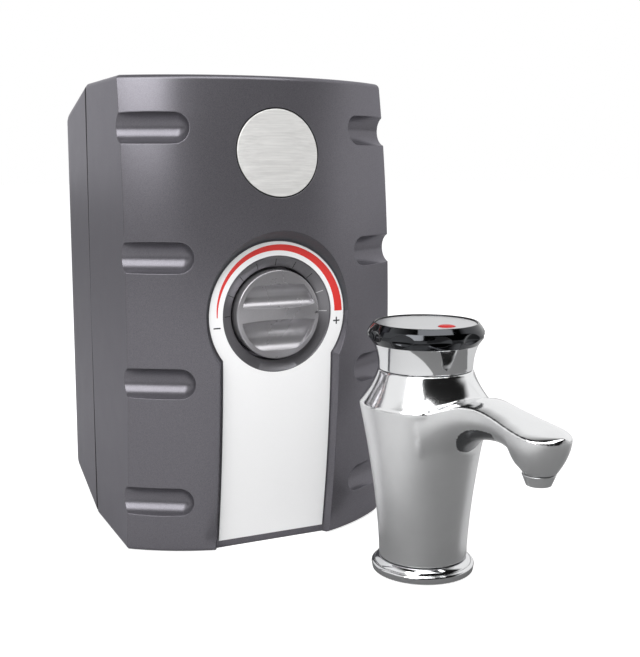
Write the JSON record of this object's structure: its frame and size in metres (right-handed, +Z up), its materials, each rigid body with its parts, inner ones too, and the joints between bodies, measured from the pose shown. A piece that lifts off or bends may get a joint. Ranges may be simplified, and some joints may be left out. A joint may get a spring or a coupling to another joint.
{
  "type": "instant hot water dispenser",
  "caption": "Instant hot water dispenser set: a bow-fronted grey tank unit with a temperature dial, and a chrome deck faucet with a swept spout and a scalloped knob.",
  "frame": {"origin": "the underside of the tank unit, in the middle of its width, 65 mm behind the front corners of its base", "axes": "+Z up; -Y out of the tank's bowed front, towards the faucet; +X to the right of someone who faces the dial"},
  "size_m": [0.1914, 0.3621, 0.2915],
  "materials": {
    "grey_housing": "dark grey moulded plastic with a fine metallic flake",
    "dial_grey": "grey moulded plastic with a fine metallic flake",
    "label_white": "smooth white, with a red tapered arc round the dial",
    "brushed_steel": "finely brushed",
    "chrome": "polished and satin chrome",
    "indicator_red": "glossy red",
    "stainless_steel": "drawn stainless steel",
    "zinc_steel": "zinc-plated steel",
    "brass": "turned brass",
    "white_foam": "white bead foam",
    "black_rubber": "matt black",
    "black_plastic": "black moulded plastic",
    "white_plastic": "white moulded plastic"
  },
  "bodies": {
    "housing_and_faucet": {"front_shell": "grey_housing", "rear_shell": "grey_housing", "label_plate": "label_white", "badge_disc": "brushed_steel", "thermostat_body": "black_plastic", "thermostat_bracket": "zinc_steel", "hot_tank": "stainless_steel", "expansion_chamber": "white_plastic", "heating_element": "stainless_steel", "element_flange": "brass", "insulation_front": "white_foam", "insulation_rear": "white_foam", "thermal_fuse": "black_plastic", "inlet_port": "white_plastic", "outlet_port": "white_plastic", "vent_port": "white_plastic", "drain_plug": "brass", "drain_seal": "black_rubber", "wall_bracket": "zinc_steel", "bracket_screw_1": "zinc_steel", "bracket_screw_2": "zinc_steel", "housing_screw_1": "zinc_steel", "housing_screw_2": "zinc_steel", "housing_screw_3": "zinc_steel", "housing_screw_4": "zinc_steel", "cord_gland": "black_plastic", "faucet_body": "chrome", "base_flange": "chrome", "base_gasket": "black_rubber", "shank_socket": "brass", "valve_cartridge": "brass", "cartridge_nut": "brass", "stem_o_ring": "black_rubber", "return_spring": "stainless_steel", "nozzle": "chrome", "nozzle_screen": "black_plastic"},
    "dial": {"temperature_dial": "dial_grey", "dial_spindle": "stainless_steel"},
    "faucet_knob": {"knob": "chrome", "knob_cap": "chrome", "hot_indicator": "indicator_red", "valve_stem": "stainless_steel", "knob_screw": "zinc_steel"}
  },
  "joints": [
    {"name": "dial_turn", "type": "hinge", "parent": "housing_and_faucet", "child": "dial", "pos_m": [0, -0.095, 0.148], "axis": [0, -1, 0], "range_deg": [0, 180]},
    {"name": "knob_turn", "type": "hinge", "parent": "housing_and_faucet", "child": "faucet_knob", "pos_m": [0.0645, -0.1675, 0.13], "axis": [0, 0, 1], "range_deg": [0, 90], "stiffness_Nm_per_rad": 0.1}
  ]
}
